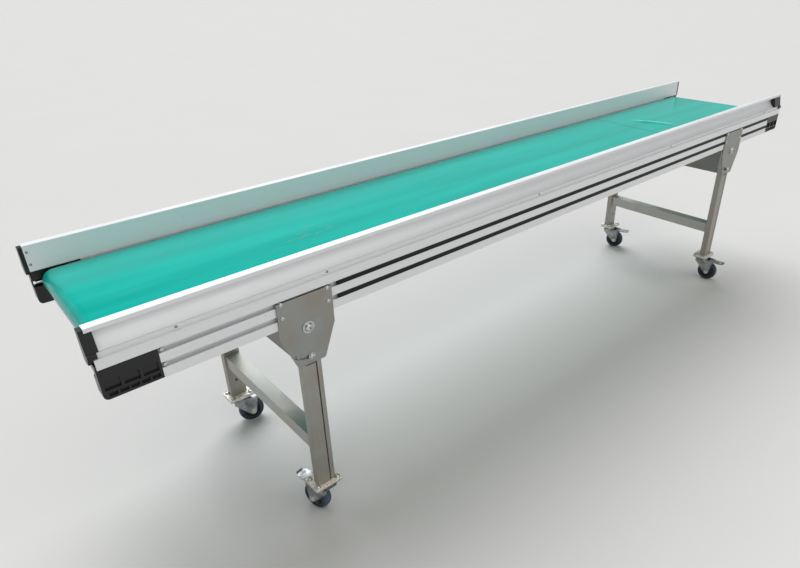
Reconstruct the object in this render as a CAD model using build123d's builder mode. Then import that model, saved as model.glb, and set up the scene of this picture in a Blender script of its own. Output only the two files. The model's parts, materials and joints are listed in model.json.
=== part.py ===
"""Mobile belt conveyor: an aluminium bed with side guards and a flat belt on two castored leg frames.

Millimetres. X runs along the bed, from the end with leg frame "near" to the end with leg frame "far";
Y runs across it; Z is up. The origin is the middle of the belt's carrying face. Levels below are measured
from the floor, and each finished piece is lowered by the belt's level as it is written.
"""

import math
import os

from build123d import *

os.makedirs("parts", exist_ok=True)

# Bed
bed_length = 2890.0
guard_gap = 465.0
belt_top = 691.0
belt_side_gap = 7.5
belt_thick = 2.5
drum_dia = 54.0
nose_inset = 15.5

# Guard extrusion, measured outward from its web and up from the belt
guard_rise = 66.5
guard_wall = 2.5
flange_reach = 20.5
lip_drop = 8.5
lip_wall = 2.0
cove_radius = 40.0
cove_end_rise = 16.0
cove_toe = 3.0
ledge_reach = 25.2
ledge_rise = 6.5
skirt_wall = 1.5
skirt_gap = 0.2
skirt_drop = 15.0
foot_rise = 4.5
hook_rise = 2.0

# Rail extrusion
rail_reach = 31.5
rail_inset = 3.2
rail_wall = 2.4
slot_below_skirt = 0.75
slot_pitch = 33.2
slot_mouth = 12.5
slot_lip = 3.0
slot_width = 21.0
slot_depth = 6.5
seat_gap = 0.3

# Black strips that close the slots
strip_play = 0.1
strip_recess = 0.3
strip_barb = 1.4
strip_barb_depth = 2.0
strip_setback = 20.0
strip_end_gap = 1.0

# Bed interior
tie_count = 4
tie_inset = 335.0
tie_width = 40.0
tie_height = 25.0
tube_wall = 2.0
sheet = 2.0
slider_play = 8.0
slider_fold = 10.0
return_dia = 24.0
return_inset = 825.0
return_count = 3
return_axle = 10.0
roller_play = 4.0
shaft_dia = 17.0
drum_shell = 3.5
drum_head = 8.0
drum_overhang = 2.0

# Moulded end blocks
block_length = 108.0
block_overhang = 3.0
block_corner = 10.0
block_edge = 1.5
block_inner_reach = 0.6
pocket_depth = 5.0
pocket_rim = 6.0
pocket_upper = {"count": 3, "rib": 6.0, "height": 20.0}
pocket_lower = {"count": 5, "rib": 4.0, "height": 9.0}
pocket_gap = 5.0
shaft_seat = 15.0
shaft_play = 0.15
take_up_screw = 8.0
take_up_inset = 2.0
set_screw = 7.0
set_screw_sink = 1.0

# Moulded guard caps
cap_overhang = 9.0
cap_insert = {"near": 13.0, "far": 48.0}
cap_flare = 1.8
cap_drop = 5.0
cap_corner = 7.0
cap_edge = 2.0
cap_play = 0.15
cap_wrap = 8.0
cap_wrap_flare = 5.8
cap_wrap_rise = 2.0

# Leg frames
leg_inset = 426.0
pivot_below_rail = 16.5
post_width = 52.0
post_depth = 24.0
post_wall = 2.0
post_fold = 3.5
post_top = 10.5
post_tip = 8.0
seam_edge = 13.0
seam_width = 3.0
relief_gap = 3.0
relief_edge = 11.0
foot_thick = 5.0
foot_length = 80.0
foot_width = 60.0
foot_corner = 5.0
swivel_offset = 5.6
plate_thick = 4.0
plate_gap = 0.4
plate_top_half = 70.0
plate_kink_drop = 12.0
plate_below_slot = 15.0
plate_beside_slot = 3.0
plate_corner = 6.0
plate_top_gap = 3.5
pivot_seat = 2.5
pivot_nut = 7.0
pivot_dia = 12.0
pivot_washer = 30.0
pivot_play = 0.06
clamp_dia = 8.0
clamp_washer = 18.0
clamp_washer_thick = 1.6
nut_gap = 0.6
nut_play = 0.5
clamp_radius = 78.0
slot_play = 0.5
swing = 30.0
slot_overrun = 1.0
bracket_screw_edge = 11.3
bracket_screw_dia = 6.0
screw_play = 0.1
crossbar_side = 40.0
crossbar_level = 224.0
cross_sheet_drop = 4.0
cross_sheet_height = 92.0
cross_sheet_fold = 9.0
post_hole_dia = 9.0
post_hole_level = 170.0

# Castors
wheel_dia = 80.0
tyre_width = 28.0
tyre_wall = 11.0
tyre_shoulder = 5.0
tread_flat = 10.0
tyre_side_gap = 5.0
tyre_headroom = 12.0
hub_play = 0.5
hub_rim_inset = 1.0
hub_rim_wall = 4.0
hub_rim_slope = 3.0
hub_web = 10.0
hub_boss_root = 11.0
hub_boss_end = 9.0
axle_dia = 10.0
axle_overhang = 1.0
axle_nut = 5.0
axle_eye = 11.0
bearing_play = 0.05
castor_plate = 4.0
trail = 30.0
fork_wall = 3.0
fork_shoulder = 8.0
crown_length = 47.0
crown_bend = 2.5
race_dia = 40.0
race_rise = 11.0
race_gap = 0.4
kingpin_dia = 12.0
kingpin_recess = 0.5
pedal_overhang = 24.0
pedal_width = 34.0
pedal_drop = 5.0
pedal_play = 0.3
pedal_root = 2.0
pedal_lug_length = 20.0
pedal_lug_drop = 6.5
pedal_ear = 7.0
pedal_pin = 5.0
pedal_pin_drop = 3.0
pedal_corner_length = 10.0
pedal_corner_width = 8.0
pedal_lip = 7.0
pedal_slot_inset = 16.0
pedal_slot_width = 5.0

# Levels and places worked out from the sizes above. The rails are as deep as the drums with both strands
# of the belt and a return roller below them.
belt_width = guard_gap - 2 * belt_side_gap
rail_depth = drum_dia + 2 * belt_thick + return_dia
rail_bottom = belt_top - rail_depth
rail_top = belt_top + foot_rise - seat_gap
skirt_reach = rail_reach + skirt_gap + skirt_wall
cap_reach = ledge_reach + cap_flare
cap_wrap_reach = ledge_reach + cap_wrap_flare
guard_top = belt_top + guard_rise
web_face = guard_gap / 2
rail_face = web_face + rail_reach
bed_end = bed_length / 2
rail_end = bed_end - block_length
drum_centre_x = bed_end - nose_inset - drum_dia / 2 - belt_thick
drum_centre_z = belt_top - belt_thick - drum_dia / 2
slider_top = belt_top - belt_thick
return_z = drum_centre_z - drum_dia / 2 - belt_thick - return_dia / 2
rail_inner = web_face + rail_inset
block_face = web_face + block_inner_reach
leg_x = bed_end - leg_inset
pivot_z = rail_bottom - pivot_below_rail
post_face = rail_face - plate_gap
post_inner = post_face - post_depth
fork_gap = tyre_width / 2 + tyre_side_gap
hub_width = 2 * (fork_gap - hub_play)
crown_level = wheel_dia + tyre_headroom
castor_height = crown_level + fork_wall + race_rise + castor_plate
pedal_level = crown_level - pedal_drop
pedal_reach = trail + wheel_dia / 2 + pedal_overhang
pedal_pin_x = trail + pedal_root + pedal_lug_length / 2
pedal_pin_z = pedal_level - pedal_pin_drop
post_bottom = castor_height + foot_thick
swivel_y = post_face - post_depth / 2 - swivel_offset
plate_face = rail_face + plate_thick
clamp_mouth = clamp_dia / 2 + slot_play
plate_below_pivot = clamp_radius + clamp_mouth + plate_below_slot
screw_half_pitch = plate_top_half - bracket_screw_edge

ENDS = {"near": -1, "far": 1}
SIDES = {"front": -1, "rear": 1}

# Castors: leg frame, side, and the direction in degrees in which each one trails as it was left standing
CASTORS = [
    ("near", "front", 105.0),
    ("near", "rear", -8.0),
    ("far", "front", -80.0),
    ("far", "rear", -68.0),
]


def section(reach, level):
    """A point of the front side frame's section: outward from the guard's web, and height."""
    return (-(web_face + reach), level)


def box(x, y, z):
    """A block between pairs of X, Y and Z limits, added to the part being built."""
    with Locations(((x[0] + x[1]) / 2, (y[0] + y[1]) / 2, (z[0] + z[1]) / 2)):
        Box(abs(x[1] - x[0]), abs(y[1] - y[0]), abs(z[1] - z[0]))


def cut_box(x, y, z):
    """The same block, taken away from the part being built."""
    with Locations(((x[0] + x[1]) / 2, (y[0] + y[1]) / 2, (z[0] + z[1]) / 2)):
        Box(abs(x[1] - x[0]), abs(y[1] - y[0]), abs(z[1] - z[0]), mode=Mode.SUBTRACT)


def rod_y(x, z, radius, y_from, y_to, mode=Mode.ADD):
    """A round bar or hole along Y."""
    with Locations((x, (y_from + y_to) / 2, z)):
        Cylinder(radius, abs(y_to - y_from), rotation=(90, 0, 0), mode=mode)


def button_head(x, z, thread, seat):
    """A domed screw head with a hexagon socket, seated on a face whose outward normal is -Y."""
    radius = thread * 0.95
    rise = thread * 0.55
    crown = (radius * 0.45, rise)
    flank = (radius * 0.8, rise * 0.75)
    with BuildPart() as head:
        with BuildSketch(Plane.XY):
            with BuildLine():
                Polyline((0, 0), (radius, 0), flank, crown, (0, rise), close=True)
            make_face()
        revolve(axis=Axis.Y)
        with BuildSketch(Plane(origin=(0, rise, 0), x_dir=(1, 0, 0), z_dir=(0, 1, 0))):
            RegularPolygon(thread * 0.36, 6)
        extrude(amount=-rise * 0.6, mode=Mode.SUBTRACT)
    return head.part.moved(Location((x, seat, z), (180, 0, 0)))


def save(part, name):
    """Brings a finished piece to the belt's level, labels it and writes it under the same name."""
    piece = part.moved(Location((0, 0, -belt_top)))
    piece.label = name
    export_step(piece, f"parts/{name}.step")


# Side guards: one hollow extrusion with a web beside the belt, a top flange turned outward, a cove that
# flares into two ledges, and a skirt that hangs over the rail's upper edge
def guard_outline():
    cove_centre = (guard_wall + cove_radius, belt_top + cove_end_rise + cove_drop)
    Polyline(
        section(ledge_toe, belt_top + cove_end_rise),
        section(ledge_reach, belt_top + cove_end_rise),
        section(ledge_reach, belt_top + ledge_rise),
        section(skirt_reach, belt_top + ledge_rise),
        section(skirt_reach, belt_top - skirt_drop),
        section(skirt_reach - skirt_wall, belt_top - skirt_drop),
        section(skirt_reach - skirt_wall, belt_top + foot_rise),
        section(guard_wall, belt_top + foot_rise),
        section(guard_wall, belt_top + hook_rise),
        section(0, belt_top + hook_rise),
        section(0, guard_top),
        section(flange_reach, guard_top),
        section(flange_reach, guard_top - lip_drop),
        section(flange_reach - lip_wall, guard_top - lip_drop),
        section(flange_reach - lip_wall, guard_top - guard_wall),
        section(guard_wall, guard_top - guard_wall),
        section(guard_wall, cove_centre[1]),
    )
    CenterArc(section(*cove_centre), cove_radius, 0, -cove_angle)


def guard_chamber():
    cove_centre = (guard_wall + cove_radius, belt_top + cove_end_rise + cove_drop)
    inner_radius = cove_radius + lip_wall
    first = math.degrees(math.acos(cove_radius / inner_radius))
    low = belt_top + cove_end_rise - lip_wall
    last = math.degrees(math.asin((cove_centre[1] - low) / inner_radius))
    arc = CenterArc(section(*cove_centre), inner_radius, -first, -(last - first))
    Polyline(
        arc @ 1,
        section(ledge_reach - lip_wall, low),
        section(ledge_reach - lip_wall, belt_top + foot_rise + lip_wall),
        section(guard_wall, belt_top + foot_rise + lip_wall),
        arc @ 0,
    )


ledge_toe = ledge_reach - cove_toe
cove_angle = math.degrees(math.acos(1 - (ledge_toe - guard_wall) / cove_radius))
cove_drop = cove_radius * math.sin(math.radians(cove_angle))

with BuildPart() as guard_front:
    with BuildSketch(Plane.YZ.offset(-bed_end)):
        with BuildLine():
            guard_outline()
        make_face()
        with BuildLine():
            guard_chamber()
        make_face(mode=Mode.SUBTRACT)
    extrude(amount=bed_length)
save(guard_front.part, "guard_front")

with BuildPart() as guard_rear:
    mirror(guard_front.part, about=Plane.XZ)
save(guard_rear.part, "guard_rear")


# Rails: hollow extrusions with two T-slots in the outer face; they stop at the end blocks
def rail_hollow(reach_from, reach_to, low, high):
    with Locations(section((reach_from + reach_to) / 2, (low + high) / 2)):
        Rectangle(reach_to - reach_from, high - low, mode=Mode.SUBTRACT)


slot_back = rail_reach - slot_lip - slot_depth
upper_slot_z = belt_top - skirt_drop - slot_below_skirt - slot_mouth / 2
lower_slot_z = upper_slot_z - slot_pitch
slot_z = {"upper": upper_slot_z, "lower": lower_slot_z}
rib_z = (upper_slot_z + lower_slot_z) / 2
chamber_reach = slot_back - rail_wall
ear_from = rail_reach - slot_lip - slot_depth
ear_to = rail_reach - rail_wall

with BuildPart() as rail_front:
    with BuildSketch(Plane.YZ.offset(-rail_end)):
        with Locations(section((rail_inset + rail_reach) / 2, (rail_bottom + rail_top) / 2)):
            Rectangle(rail_reach - rail_inset, rail_top - rail_bottom)
        for level in slot_z.values():
            rail_hollow(rail_reach - slot_lip, rail_reach, level - slot_mouth / 2, level + slot_mouth / 2)
            rail_hollow(slot_back, rail_reach - slot_lip, level - slot_width / 2, level + slot_width / 2)
        rail_hollow(rail_inset + rail_wall, chamber_reach, rail_bottom + rail_wall, rib_z - rail_wall / 2)
        rail_hollow(rail_inset + rail_wall, chamber_reach, rib_z + rail_wall / 2, rail_top - rail_wall)
        rail_hollow(ear_from, ear_to, rail_bottom + rail_wall, lower_slot_z - slot_width / 2 - rail_wall)
        rail_hollow(ear_from, ear_to, upper_slot_z + slot_width / 2 + rail_wall, rail_top - rail_wall)
    extrude(amount=2 * rail_end)
save(rail_front.part, "rail_front")

with BuildPart() as rail_rear:
    mirror(rail_front.part, about=Plane.XZ)
save(rail_rear.part, "rail_rear")

# Slot strips: black plastic T-sections pressed into the slots between the brackets and past the far one
STRIP_RUNS = [
    (-leg_x + plate_top_half + strip_setback, leg_x - plate_top_half - strip_end_gap),
    (leg_x + plate_top_half + strip_end_gap, rail_end - strip_end_gap),
]

with BuildPart() as slot_strips:
    for start, stop in STRIP_RUNS:
        with BuildSketch(Plane.YZ.offset(start)):
            for level in slot_z.values():
                strip_out = rail_reach - strip_recess
                strip_in = rail_reach - slot_lip - strip_play
                with Locations(section((strip_out + strip_in) / 2, level)):
                    Rectangle(strip_out - strip_in, slot_mouth - 2 * strip_play)
                with Locations(section(strip_in - strip_barb_depth / 2, level)):
                    Rectangle(strip_barb_depth, slot_mouth + 2 * strip_barb)
        extrude(amount=stop - start)
    mirror(about=Plane.XZ)
save(slot_strips.part, "slot_strips")

# Belt: one endless loop round the two drums
with BuildPart() as belt:
    with BuildSketch(Plane.XZ):
        with Locations((0, drum_centre_z)):
            SlotCenterToCenter(2 * drum_centre_x, drum_dia + 2 * belt_thick)
            SlotCenterToCenter(2 * drum_centre_x, drum_dia, mode=Mode.SUBTRACT)
    extrude(amount=belt_width / 2, both=True)
save(belt.part, "belt")

# Slider bed: the sheet that the loaded strand runs on, folded down at both ends
slider_end = drum_centre_x - drum_dia / 2 - slider_play
slider_half = block_face - seat_gap

with BuildPart() as slider_bed:
    box((-slider_end, slider_end), (-slider_half, slider_half), (slider_top - sheet, slider_top))
    for end in ENDS.values():
        box(
            (end * slider_end, end * (slider_end - sheet)),
            (-slider_half, slider_half),
            (slider_top - sheet - slider_fold, slider_top),
        )
save(slider_bed.part, "slider_bed")

# Cross ties: tubes between the rails that carry the slider bed
tie_top = slider_top - sheet
tie_pitch = 2 * (bed_end - tie_inset) / (tie_count - 1)
with BuildPart() as cross_ties:
    for index in range(tie_count):
        tie_x = (index - (tie_count - 1) / 2) * tie_pitch
        with BuildSketch(Plane(origin=(tie_x, -rail_inner, tie_top - tie_height / 2), x_dir=(1, 0, 0), z_dir=(0, 1, 0))):
            Rectangle(tie_width, tie_height)
            Rectangle(tie_width - 2 * tube_wall, tie_height - 2 * tube_wall, mode=Mode.SUBTRACT)
        extrude(amount=2 * rail_inner)
save(cross_ties.part, "cross_ties")

# Return rollers: thin rollers that keep the empty strand up
return_pitch = 2 * (bed_end - return_inset) / (return_count - 1)

with BuildPart() as return_rollers:
    for index in range(return_count):
        roller_x = (index - (return_count - 1) / 2) * return_pitch
        roller_half = rail_inner - roller_play
        rod_y(roller_x, return_z, return_dia / 2, -roller_half, roller_half)
        rod_y(roller_x, return_z, return_axle / 2, -rail_inner, rail_inner)
save(return_rollers.part, "return_rollers")

# End drums: a plain tail drum at the near end and a motor drum, solid with its motor, at the far end
drum_half = belt_width / 2 + drum_overhang
shell_half = drum_half - drum_head
shaft_half = block_face + shaft_seat

with BuildPart() as tail_drum:
    rod_y(-drum_centre_x, drum_centre_z, drum_dia / 2, -drum_half, drum_half)
    rod_y(-drum_centre_x, drum_centre_z, drum_dia / 2 - drum_shell, -shell_half, shell_half, Mode.SUBTRACT)
    rod_y(-drum_centre_x, drum_centre_z, shaft_dia / 2, -shaft_half, shaft_half)
save(tail_drum.part, "tail_drum")

with BuildPart() as drive_drum:
    rod_y(drum_centre_x, drum_centre_z, drum_dia / 2, -drum_half, drum_half)
    rod_y(drum_centre_x, drum_centre_z, shaft_dia / 2, -shaft_half, shaft_half)
save(drive_drum.part, "drive_drum")


# End blocks: black mouldings that close the rails and carry the drum shafts in slots open to the end
def pocket_row(pockets, level, left, right):
    """Evenly spaced pockets in the block's outer face, their row between two X limits."""
    pitch = (right - left + pockets["rib"]) / pockets["count"]
    for index in range(pockets["count"]):
        start = left + index * pitch
        cut_box(
            (start, start + pitch - pockets["rib"]),
            (-rail_face, -rail_face + pocket_depth),
            (level - pockets["height"] / 2, level + pockets["height"] / 2),
        )


shaft_hole = shaft_dia / 2 + shaft_play
block_start = -bed_end - block_overhang

with BuildPart() as block_near_front:
    box((block_start, -rail_end), (-rail_face, -rail_inner), (rail_bottom, rail_top))
    box((block_start, -rail_end), (-rail_inner, -block_face), (rail_bottom, belt_top + hook_rise - seat_gap))
    cut_box((block_start, -bed_end), (-rail_face, -block_face), (belt_top - cap_drop - seat_gap, rail_top))
    fillet(block_near_front.edges().filter_by(Axis.Y).group_by(Axis.X)[0].group_by(Axis.Z)[0], block_corner)
    outer_edges = block_near_front.edges().group_by(Axis.Y)[0]
    free_edges = outer_edges.filter_by(lambda edge: edge.center().X < -rail_end - block_edge)
    fillet(free_edges.filter_by(lambda edge: edge.center().Z < drum_centre_z), block_edge)
    lower_level = rail_bottom + pocket_rim + pocket_lower["height"] / 2
    upper_level = lower_level + (pocket_lower["height"] + pocket_upper["height"]) / 2 + pocket_gap
    pocket_row(pocket_upper, upper_level, block_start + pocket_rim, -rail_end - pocket_rim)
    pocket_row(pocket_lower, lower_level, block_start + block_corner, -rail_end - pocket_rim)
    cut_box(
        (block_start, -drum_centre_x),
        (-block_face - shaft_seat, -block_face),
        (drum_centre_z - shaft_hole, drum_centre_z + shaft_hole),
    )
    rod_y(-drum_centre_x, drum_centre_z, shaft_hole, -block_face - shaft_seat, -block_face, Mode.SUBTRACT)

with BuildPart() as near_end_blocks:
    add(block_near_front.part)
    mirror(about=Plane.XZ)
save(near_end_blocks.part, "near_end_blocks")
save(mirror(near_end_blocks.part, about=Plane.YZ), "far_end_blocks")

# Take-up screws lie in the shaft slots and bear on the shafts; set screws at the near end lock its blocks
with BuildPart() as block_screws:
    screw_y = block_face + shaft_seat / 2
    screw_start = -bed_end - block_overhang + take_up_inset
    with BuildSketch(Plane(origin=(screw_start, -screw_y, drum_centre_z), x_dir=(0, 1, 0), z_dir=(1, 0, 0))):
        Circle(take_up_screw / 2)
    extrude(amount=-drum_centre_x - shaft_dia / 2 - screw_start)
    with BuildSketch(Plane(origin=(screw_start, -screw_y, drum_centre_z), x_dir=(0, 1, 0), z_dir=(1, 0, 0))):
        RegularPolygon(take_up_screw * 0.8, 6)
    extrude(amount=take_up_screw * 0.6)
    mirror(about=Plane.YZ)
    for level in slot_z.values():
        rod_y(-rail_end + set_screw, level, set_screw / 2, -rail_face + set_screw_sink, -web_face - slot_back)
    mirror(about=Plane.XZ)
save(block_screws.part, "block_screws")


# Guard caps: black mouldings that fill the guards' outer hollow at each end and wrap over the ledge
def cap_outline(play):
    """The cap's end plate: from the web out under the flange, down the flare and round below the ledge."""
    Polyline(
        section(0, belt_top - cap_drop),
        section(0, guard_top - guard_wall - play),
        section(flange_reach - lip_wall - play, guard_top - guard_wall - play),
        section(flange_reach - lip_wall - play, guard_top - lip_drop),
        section(cap_reach, belt_top + cove_end_rise + cap_wrap_rise),
        section(cap_reach, belt_top - cap_drop),
        section(0, belt_top - cap_drop),
    )


def cove_fill(play):
    """The hollow between flange and cove, as far down as the ledge."""
    centre = section(guard_wall + cove_radius, belt_top + cove_end_rise + cove_drop)
    arc = CenterArc(centre, cove_radius - play, 0, -cove_angle)
    Polyline(
        arc @ 1,
        section(cap_reach, belt_top + cove_end_rise + cap_wrap_rise),
        section(flange_reach - lip_wall - play, guard_top - lip_drop),
        section(flange_reach - lip_wall - play, guard_top - guard_wall - play),
        section(guard_wall + play, guard_top - guard_wall - play),
        arc @ 0,
    )


def guard_cap(insert):
    """One cap at the near front corner, reaching the given length into the guard."""
    with BuildPart() as cap:
        with BuildSketch(Plane.YZ.offset(-bed_end - cap_overhang)):
            with BuildLine():
                cap_outline(cap_play)
            make_face()
        extrude(amount=cap_overhang)
        fillet(cap.edges().filter_by(Axis.X).group_by(Axis.Z)[0], cap_corner)
        with BuildSketch(Plane.YZ.offset(-bed_end)):
            with BuildLine():
                cove_fill(cap_play)
            make_face()
        extrude(amount=insert)
        wrap_y = (-web_face - cap_wrap_reach, -web_face - ledge_reach - cap_play)
        box(
            (-bed_end - cap_overhang, -bed_end + cap_wrap),
            wrap_y,
            (belt_top + ledge_rise + cap_play, belt_top + cove_end_rise + cap_wrap_rise),
        )
        fillet(cap.edges().filter_by(Axis.X).sort_by(Axis.Y)[:2], cap_edge)
    return cap.part


near_cap = guard_cap(cap_insert["near"])
far_cap = mirror(guard_cap(cap_insert["far"]), about=Plane.YZ)
with BuildPart() as guard_caps:
    for cap_part in (near_cap, far_cap):
        add(cap_part)
        add(mirror(cap_part, about=Plane.XZ, mode=Mode.PRIVATE))
save(guard_caps.part, "guard_caps")


# Bracket plates: screwed to the slots; the post pivots on the upper hole and is clamped through the arc.
# Their sides taper from the kink so far in that a wall stays beside the arc's end.
def bracket_bottom_half():
    """Half the plate's width at its foot, where a tapering side passes the arc's end at a set wall."""
    across = clamp_radius * math.sin(math.radians(swing + slot_overrun)) - plate_top_half
    down = clamp_radius * math.cos(math.radians(swing + slot_overrun)) - plate_kink_drop
    slant = math.atan2(-across, down) - math.asin((clamp_mouth + plate_beside_slot) / math.hypot(across, down))
    return plate_top_half - math.tan(slant) * (plate_below_pivot - plate_kink_drop)


def bracket(x):
    """The front plate of one leg frame."""
    top = belt_top - skirt_drop - plate_top_gap
    kink = pivot_z - plate_kink_drop
    bottom = pivot_z - plate_below_pivot
    bottom_half = bracket_bottom_half()
    with BuildPart() as plate:
        with BuildSketch(Plane(origin=(x, -rail_face, 0), x_dir=(1, 0, 0), z_dir=(0, -1, 0))) as face:
            with BuildLine():
                Polyline(
                    (-plate_top_half, top),
                    (plate_top_half, top),
                    (plate_top_half, kink),
                    (bottom_half, bottom),
                    (-bottom_half, bottom),
                    (-plate_top_half, kink),
                    close=True,
                )
            make_face()
            fillet(face.vertices().group_by(Axis.Y)[0], plate_corner)
            with Locations((0, pivot_z)):
                Circle(pivot_dia / 2 + pivot_play, mode=Mode.SUBTRACT)
            with BuildLine():
                arc = CenterArc((0, pivot_z), clamp_radius, -90 + slot_overrun, -(swing + 2 * slot_overrun))
                offset(arc, clamp_mouth, side=Side.BOTH)
            make_face(mode=Mode.SUBTRACT)
            with Locations(*[(i * screw_half_pitch, z) for i in (-1, 1) for z in slot_z.values()]):
                Circle(bracket_screw_dia / 2, mode=Mode.SUBTRACT)
        extrude(amount=plate_thick)
    return plate.part


for name, end in ENDS.items():
    front = bracket(end * leg_x)
    with BuildPart() as bracket_plates:
        add(front)
        add(mirror(front, about=Plane.XZ, mode=Mode.PRIVATE))
    save(bracket_plates.part, f"{name}_bracket_plates")

# Bracket bolts: button heads outside the plates with nuts inside the slots, and the pivots, which are
# fixed in the plates for the posts to turn on
with BuildPart() as bracket_bolts:
    for end in ENDS.values():
        for i in (-1, 1):
            for level in slot_z.values():
                x = end * leg_x + i * screw_half_pitch
                add(button_head(x, level, bracket_screw_dia, -plate_face))
                rod_y(x, level, bracket_screw_dia / 2 - screw_play, -plate_face, -rail_face + slot_lip)
                box(
                    (x - slot_width / 2, x + slot_width / 2),
                    (-rail_face + slot_lip, -rail_face + slot_lip + slot_depth - nut_play),
                    (level - slot_width / 2 + nut_play, level + slot_width / 2 - nut_play),
                )
        x = end * leg_x
        rod_y(x, pivot_z, pivot_dia / 2, -plate_face - pivot_seat, -post_inner + pivot_nut)
        rod_y(x, pivot_z, pivot_washer / 2, -plate_face - pivot_seat, -plate_face)
        add(button_head(x, pivot_z, pivot_dia, -plate_face - pivot_seat))
        with BuildSketch(Plane(origin=(x, -post_inner + nut_gap, pivot_z), x_dir=(1, 0, 0), z_dir=(0, 1, 0))):
            RegularPolygon(pivot_dia * 0.85, 6)
        extrude(amount=pivot_nut - nut_gap)
    mirror(about=Plane.XZ)
save(bracket_bolts.part, "bracket_bolts")


# Posts: sheet folded to a box with an open seam in the outer face and a relief slit under the bracket,
# welded to a foot plate
def post(x):
    """The front post of one leg frame."""
    left = x - post_width / 2
    right = x + post_width / 2
    top = pivot_z + post_top
    post_chamfer = (post_width - post_tip) / 2
    relief = pivot_z - plate_below_pivot - relief_gap
    seam_right = right - seam_edge
    seam_left = seam_right - seam_width
    with BuildPart() as column:
        with BuildSketch(Plane(origin=(x, -post_face, 0), x_dir=(1, 0, 0), z_dir=(0, 1, 0))) as face:
            with Locations((0, -(post_bottom + top) / 2)):
                Rectangle(post_width, top - post_bottom)
            chamfer(face.vertices().group_by(Axis.Y)[0], post_chamfer)
        extrude(amount=post_depth)
        fillet(column.edges().filter_by(Axis.Z), post_fold)
        with BuildSketch(Plane.XY.offset(post_bottom)):
            with Locations((x, -(post_face + post_inner) / 2)):
                RectangleRounded(post_width - 2 * post_wall, post_depth - 2 * post_wall, post_fold - post_wall)
        extrude(amount=top - post_bottom, mode=Mode.SUBTRACT)
        cut_box((seam_left, seam_right), (-post_face, -post_face + post_wall), (post_bottom, relief))
        cut_box((left + relief_edge, seam_left), (-post_face, -post_face + post_wall), (relief - seam_width, relief))
        rod_y(x, pivot_z, pivot_dia / 2 + pivot_play, -post_face, -post_inner, Mode.SUBTRACT)
        rod_y(x, pivot_z - clamp_radius, clamp_dia / 2, -post_face, -post_inner, Mode.SUBTRACT)
        inner_wall = (-post_inner - post_wall, -post_inner)
        rod_y(x, post_hole_level, post_hole_dia / 2, *inner_wall, Mode.SUBTRACT)
        with BuildSketch(Plane.XY.offset(castor_height)):
            with Locations((x, -swivel_y)):
                RectangleRounded(foot_length, foot_width, foot_corner)
        extrude(amount=foot_thick)
    return column.part


for name, end in ENDS.items():
    front_post = post(end * leg_x)
    save(front_post, f"{name}_post_front")
    save(mirror(front_post, about=Plane.XZ), f"{name}_post_rear")

# Crossbars: square tubes between the posts
for name, end in ENDS.items():
    with BuildPart() as crossbar:
        plane = Plane(
            origin=(end * leg_x, -post_inner, crossbar_level + crossbar_side / 2), x_dir=(1, 0, 0), z_dir=(0, 1, 0)
        )
        with BuildSketch(plane):
            Rectangle(crossbar_side, crossbar_side)
            Rectangle(crossbar_side - 2 * tube_wall, crossbar_side - 2 * tube_wall, mode=Mode.SUBTRACT)
        extrude(amount=2 * post_inner)
    save(crossbar.part, f"{name}_crossbar")

# Cross sheets: folded channels that tie the tops of the posts below the bed
sheet_top = pivot_z - cross_sheet_drop
sheet_bottom = sheet_top - cross_sheet_height
for name, end in ENDS.items():
    with BuildPart() as cross_sheet:
        sheet_x = end * leg_x - post_width / 2
        box((sheet_x, sheet_x + sheet), (-post_inner, post_inner), (sheet_bottom, sheet_top))
        box((sheet_x, sheet_x + cross_sheet_fold), (-post_inner, post_inner), (sheet_bottom, sheet_bottom + sheet))
        box((sheet_x, sheet_x + cross_sheet_fold), (-post_inner, post_inner), (sheet_top - sheet, sheet_top))
    save(cross_sheet.part, f"{name}_cross_sheet")

# Clamp bolts: through the arc slots, with the head outside the plate
for name, end in ENDS.items():
    with BuildPart() as clamp_bolts:
        x = end * leg_x
        z = pivot_z - clamp_radius
        washer_face = -plate_face - plate_gap - clamp_washer_thick
        rod_y(x, z, clamp_dia / 2, washer_face, -post_inner)
        rod_y(x, z, clamp_washer / 2, washer_face, -plate_face - plate_gap)
        add(button_head(x, z, clamp_dia, washer_face))
        mirror(about=Plane.XZ)
    save(clamp_bolts.part, f"{name}_clamp_bolts")

# Castor plates: bolted under the foot plates, bored for the kingpins
for name, end in ENDS.items():
    with BuildPart() as castor_plates:
        for side in SIDES.values():
            with BuildSketch(Plane.XY.offset(castor_height - castor_plate)):
                with Locations((end * leg_x, side * swivel_y)):
                    RectangleRounded(foot_length, foot_width, foot_corner)
                    Circle(kingpin_dia / 2 + bearing_play, mode=Mode.SUBTRACT)
            extrude(amount=castor_plate)
    save(castor_plates.part, f"{name}_castor_plates")


# Castor forks: a pressed crown with two tapering legs, the swivel race and kingpin above and the axle below;
# made trailing along +X, then turned to the way each castor was left
def fork_leg(y_from, y_to):
    """One leg: it tapers from the crown, and the ear for the pedal's pin, to a round eye at the axle."""
    with BuildSketch(Plane(origin=(0, y_from, 0), x_dir=(1, 0, 0), z_dir=(0, -1, 0))) as leg:
        with Locations((0, crown_level + (fork_wall - fork_shoulder) / 2)):
            Rectangle(crown_length, fork_wall + fork_shoulder)
        with Locations((trail, wheel_dia / 2)):
            Circle(axle_eye)
        with Locations((pedal_pin_x, pedal_pin_z)):
            Circle(pedal_ear)
        make_hull()
    extrude(leg.sketch, amount=y_from - y_to)


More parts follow.
